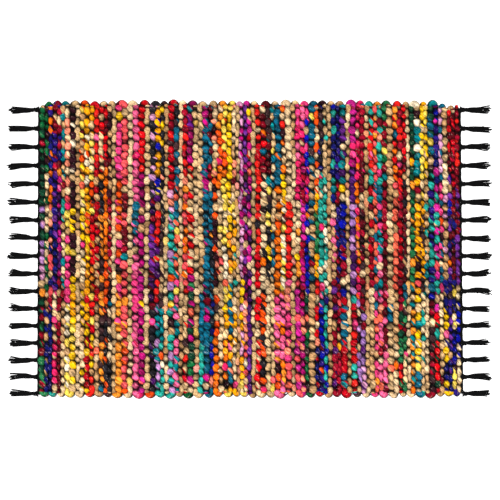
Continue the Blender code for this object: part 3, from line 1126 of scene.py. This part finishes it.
def fine_pick(end, number, far, near):
    """One fine pick of a heading, over and under the warps."""
    side = ENDS[end]["side"]
    depth = (number + 0.5) / FINE_PICKS * HEADING_WIDTH
    drawn_out = side * HEADING_FLARE["out"] * (1 - number / FINE_PICKS)
    count = 4 * ROWS
    line = []
    for k in range(count + 1):
        y = mix(near, far, k / count)
        wave = math.cos(math.pi * (k / count * ROWS + number))
        x = end_x(end, y, depth) + drawn_out * flare(y)
        blunt = math.sqrt(max(0.15, 1 - abs(2 * k / count - 1) ** 60))
        z = FINE["level"] + FINE["wave"] * wave
        line.append((x, y, z, blunt * (1.0 + FINE["swell"] * wave)))
    return line


def make_heading(end):
    edge = 0 if end == "left" else -1
    far, near = FAR[edge] - HEADING_SHORTER, NEAR[edge] + HEADING_SHORTER
    lines = [fine_pick(end, number, far, near) for number in range(FINE_PICKS)]
    return make_cords(f"fine_picks_{end}", lines, 8, FINE["width"], FINE["height"])


headings = {end: make_heading(end) for end in ENDS}
print("headings:", sum(triangles(piece) for piece in headings.values()), "triangles")

# %% [markdown]
# ## The tassels
#
# About eleven yarns meet at each tassel. They fan in from the heading, pass through a tight
# overhand knot, and lie spread on the floor like a small broom, a little frayed at the tip.
# The knot shows as a few yarns wound round the bundle. Fine hairs stand away from it.

# %% The yarns of one tassel
YARNS = 11
YARN_RADIUS = 0.00098
KNOT = {"middle": 0.0032, "lift": 0.0038, "wide": 0.0039, "high": 0.0031}
ENTRY = (  # from the heading through the knot; across and rise are shares of a unit circle
    {"out": -0.0030, "across": 0.0062, "height": 0.0026, "rise": 0.0, "thick": 1.0},
    {"out": -0.0004, "across": 0.0062 * 0.72, "height": 0.0030, "rise": 0.0004, "thick": 1.0},
    {"out": 0.0012, "across": 0.0023, "height": 0.0034, "rise": 0.0012, "thick": 1.0},
    {"out": 0.0032, "across": 0.0022, "height": 0.0038, "rise": 0.0018, "thick": 0.95},
    {"out": 0.0058, "across": 0.0022, "height": 0.0031, "rise": 0.0017, "thick": 0.90},
    {"out": 0.0070, "across": 0.0025, "height": 0.0029, "rise": 0.0018, "thick": 0.94},
)
NECK = ENTRY[-1]
BROOM = {"lean": 0.0026, "bow": 0.0018, "waist": 0.0047, "tip": (0.0052, 0.0072)}
STRAY = {"tip": 0.0014, "short": 0.0065, "wave": 0.0005}
STATIONS = 9
LONGEST = 3  # the yarn that reaches the end of the plain tassel


def smooth_share(share):
    share = min(max(share, 0.0), 1.0)
    return share * share * (3 - 2 * share)


def yarn_lines(length, chance):
    """The yarns of a tassel that points along +X from the heading's edge at x = 0."""
    lean = chance.uniform(-BROOM["lean"], BROOM["lean"])
    bow = chance.uniform(-BROOM["bow"], BROOM["bow"])
    spread = chance.uniform(*BROOM["tip"])
    angles = [math.tau * (k + 0.5) / YARNS for k in range(YARNS)]
    order = sorted(range(YARNS), key=lambda k: math.cos(angles[k]))
    yarns = []
    for k, angle in enumerate(angles):
        across, up = math.cos(angle), math.sin(angle)
        slot = 2.0 * order.index(k) / (YARNS - 1) - 1.0
        waist_y = slot * BROOM["waist"] + 0.4 * lean
        tip_y = slot * spread + chance.uniform(-STRAY["tip"], STRAY["tip"]) + lean
        tip_z = YARN_RADIUS * (1.0 if up < 0.2 else 2.6)
        reach = length - chance.uniform(0.0, STRAY["short"]) * (k != LONGEST)
        wave = chance.uniform(-STRAY["wave"], STRAY["wave"])
        line = [(row["out"], across * row["across"], row["height"] + up * row["rise"],
                 row["thick"]) for row in ENTRY]
        neck_y, neck_z = line[-1][1:3]
        for station in range(1, STATIONS + 1):
            share = station / STATIONS
            y = mix(neck_y, waist_y, smooth_share(share / 0.35))
            y += (tip_y - waist_y) * smooth_share((share - 0.4) / 0.6)
            y += bow * math.sin(math.pi * share) + wave * math.sin(7.0 * share + k)
            z = max(mix(neck_z, tip_z, smooth_share(share / 0.5)), YARN_RADIUS * 0.95)
            thin = 1.0 - 0.35 * max(0.0, share - 0.8) / 0.2
            line.append((mix(NECK["out"], reach, share), y, z, thin))
        yarns.append(line)
    return yarns


print("a tassel has", YARNS, "yarns,", round(YARN_RADIUS * 2000, 2), "mm thick")

# %% [markdown]
# An overhand knot winds the bundle round itself. From above only its crossings show, so four
# short yarns are wound round the middle at a slant. Hairs are cut ends of single fibres.

# %% The knot and the stray hairs
WINDINGS = {"count": 4, "pitch": 0.00125, "slant": 0.0011, "turns": 1.15, "thick": 1.05}
HAIRS = 9
HAIR = {"run": (0.004, 0.010), "aside": 0.0042, "away": 0.22, "curl": 40.0, "past": 0.0025}


def knot_lines(chance):
    """The yarns wound round the bundle in the knot."""
    slant = WINDINGS["slant"] * chance.choice((-1, 1))
    wound = []
    for k in range(WINDINGS["count"]):
        middle = KNOT["middle"] + (k - (WINDINGS["count"] - 1) / 2) * WINDINGS["pitch"]
        line = []
        for n in range(15):
            share = n / 14
            angle = math.tau * (WINDINGS["turns"] * share + 0.1 * k)
            swell = math.sin(math.pi * (0.12 + 0.76 * share)) ** 0.5
            y = KNOT["wide"] * swell * math.sin(angle)
            z = KNOT["lift"] + KNOT["high"] * swell * math.cos(angle)
            x = middle + slant * math.cos(angle)
            line.append((x, y, max(z, YARN_RADIUS), WINDINGS["thick"]))
        wound.append(line)
    return wound


def hair_lines(length, chance):
    """Fine fibres that have come loose from the yarns."""
    hairs = []
    for _ in range(HAIRS):
        start = chance.uniform(0.35, 0.97) * length
        run = chance.uniform(*HAIR["run"])
        y = chance.uniform(-HAIR["aside"], HAIR["aside"]) * (start / length)
        away = chance.uniform(-HAIR["away"], HAIR["away"])
        curl = chance.uniform(-HAIR["curl"], HAIR["curl"])
        line = []
        for n in range(5):
            gone = run * n / 4
            x = min(start + gone, length + HAIR["past"])
            line.append((x, y + away * gone + curl * gone * gone, 0.0012, 0.17 - 0.02 * n))
        hairs.append(line)
    return hairs


print("a knot has", WINDINGS["count"], "windings and a tassel", HAIRS, "stray hairs")

# %% [markdown]
# Every tassel is the same list of lines with other chance numbers, made to point along +X
# and then mirrored for the left end. Its length comes from the frame, where the plain
# tassels already have uneven lengths.

# %% All the tassels
def make_tassel(end, number, y):
    """One tassel, on the place of its plain node."""
    side = ENDS[end]["side"]
    low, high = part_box(f"tassel_{end}_{number:02d}")
    start = end_x(end, y) + side * HEADING_FLARE["out"]
    tip = high[0] if side > 0 else low[0]
    length = abs(tip - start)
    chance = random.Random(100 * number + side)
    local = yarn_lines(length, chance) + knot_lines(chance) + hair_lines(length, chance)
    cords = [[(start + side * x, y + v, z, t) for x, v, z, t in line] for line in local]
    return make_cords(f"yarns_{end}_{number:02d}", cords, 6, 2 * YARN_RADIUS, 2 * YARN_RADIUS)


tassels = {}
for end in ENDS:
    for number, y in enumerate(tassel_ys(), 1):
        tassels[f"tassel_{end}_{number:02d}"] = make_tassel(end, number, y)
print("tassels:", len(tassels), "with", sum(triangles(t) for t in tassels.values()), "triangles")

# %% [markdown]
# ## What each piece stands for
#
# Every piece rides on the rug's one body, and the plain node that it replaces is hidden.
# The rug is one flat cloth, and each band of the weft has its width summed from its picks.
# A pick loses length as it goes over and under the warps.

for band, _ in bands:
    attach(band, "root")
    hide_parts("rug_body")
for end, piece in headings.items():
    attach(piece, "root")
    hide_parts(f"heading_{end}")
for node, piece in tassels.items():
    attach(piece, "root")
    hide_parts(node)
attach(warps, "root")
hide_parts("rug_body")
for band, picks in bands:
    width = sum(GIRTH[i] for i in picks) * PITCH

# %% [markdown]
# ## Floor, light and camera
#
# The rug is shown from straight above on a pale floor. A weak pale sky lights it evenly, and
# one broad soft lamp from the far left gives the beads their form. The lamp is a sun, which
# is as bright at the floor's edges as under the rug. To the camera the sky looks as white
# as the floor, so that a low view has no horizon.

# %% The floor and the light
def make_floor():
    far = 9.0
    mesh = bpy.data.meshes.new("floor")
    corners = [(-far, -far, 0), (far, -far, 0), (far, far, 0), (-far, far, 0)]
    mesh.from_pydata(corners, [], [(0, 1, 2, 3)])
    floor = add_object("floor", mesh)
    made, _, shader = new_material("pale_floor")
    shader.inputs["Base Color"].default_value = (0.90, 0.90, 0.90, 1.0)
    shader.inputs["Roughness"].default_value = 0.9
    mesh.materials.append(made)
    return floor


def make_lamp(name, place, softness, power):
    data = bpy.data.lights.new(name, "SUN")
    data.angle, data.energy = softness, power
    lamp = add_object(name, data)
    lamp.location = place
    lamp.rotation_euler = lamp.location.to_track_quat("Z", "Y").to_euler()
    return lamp


def make_sky(light):
    """A sky that gives a little light but looks as white as the floor."""
    world = bpy.data.worlds.new("studio")
    world.use_nodes = True
    tree = world.node_tree
    background = tree.nodes["Background"]
    background.inputs["Color"].default_value = (1.0, 1.0, 1.0, 1.0)
    seen = Field(tree, tree.nodes.new("ShaderNodeLightPath").outputs["Is Camera Ray"])
    feed(tree, seen * (1.0 - light) + light, background.inputs["Strength"])
    bpy.context.scene.world = world


make_floor()
make_lamp("soft_lamp", place=(-0.6, 0.7, 3.0), softness=0.25, power=5.2)
make_sky(light=0.22)
bpy.context.scene.view_settings.view_transform = "Standard"

# %% [markdown]
# The photograph is taken from straight above, and its edges are square, so the camera looks
# down from a good distance with a long lens. The height follows from the picture's width.

# %% The camera
PICTURE_WIDTH = 1.0065  # metres across the picture, at the height of the floor
PICTURE_MIDDLE = (0.001, -0.002)
LENS, SENSOR = 85.0, 36.0  # millimetres
camera_data = bpy.data.cameras.new("camera")
camera_data.lens, camera_data.sensor_width = LENS, SENSOR
camera = add_object("camera", camera_data)
camera.location = (*PICTURE_MIDDLE, PICTURE_WIDTH * LENS / SENSOR)
bpy.context.scene.camera = camera
print("camera at", [round(v, 3) for v in camera.location])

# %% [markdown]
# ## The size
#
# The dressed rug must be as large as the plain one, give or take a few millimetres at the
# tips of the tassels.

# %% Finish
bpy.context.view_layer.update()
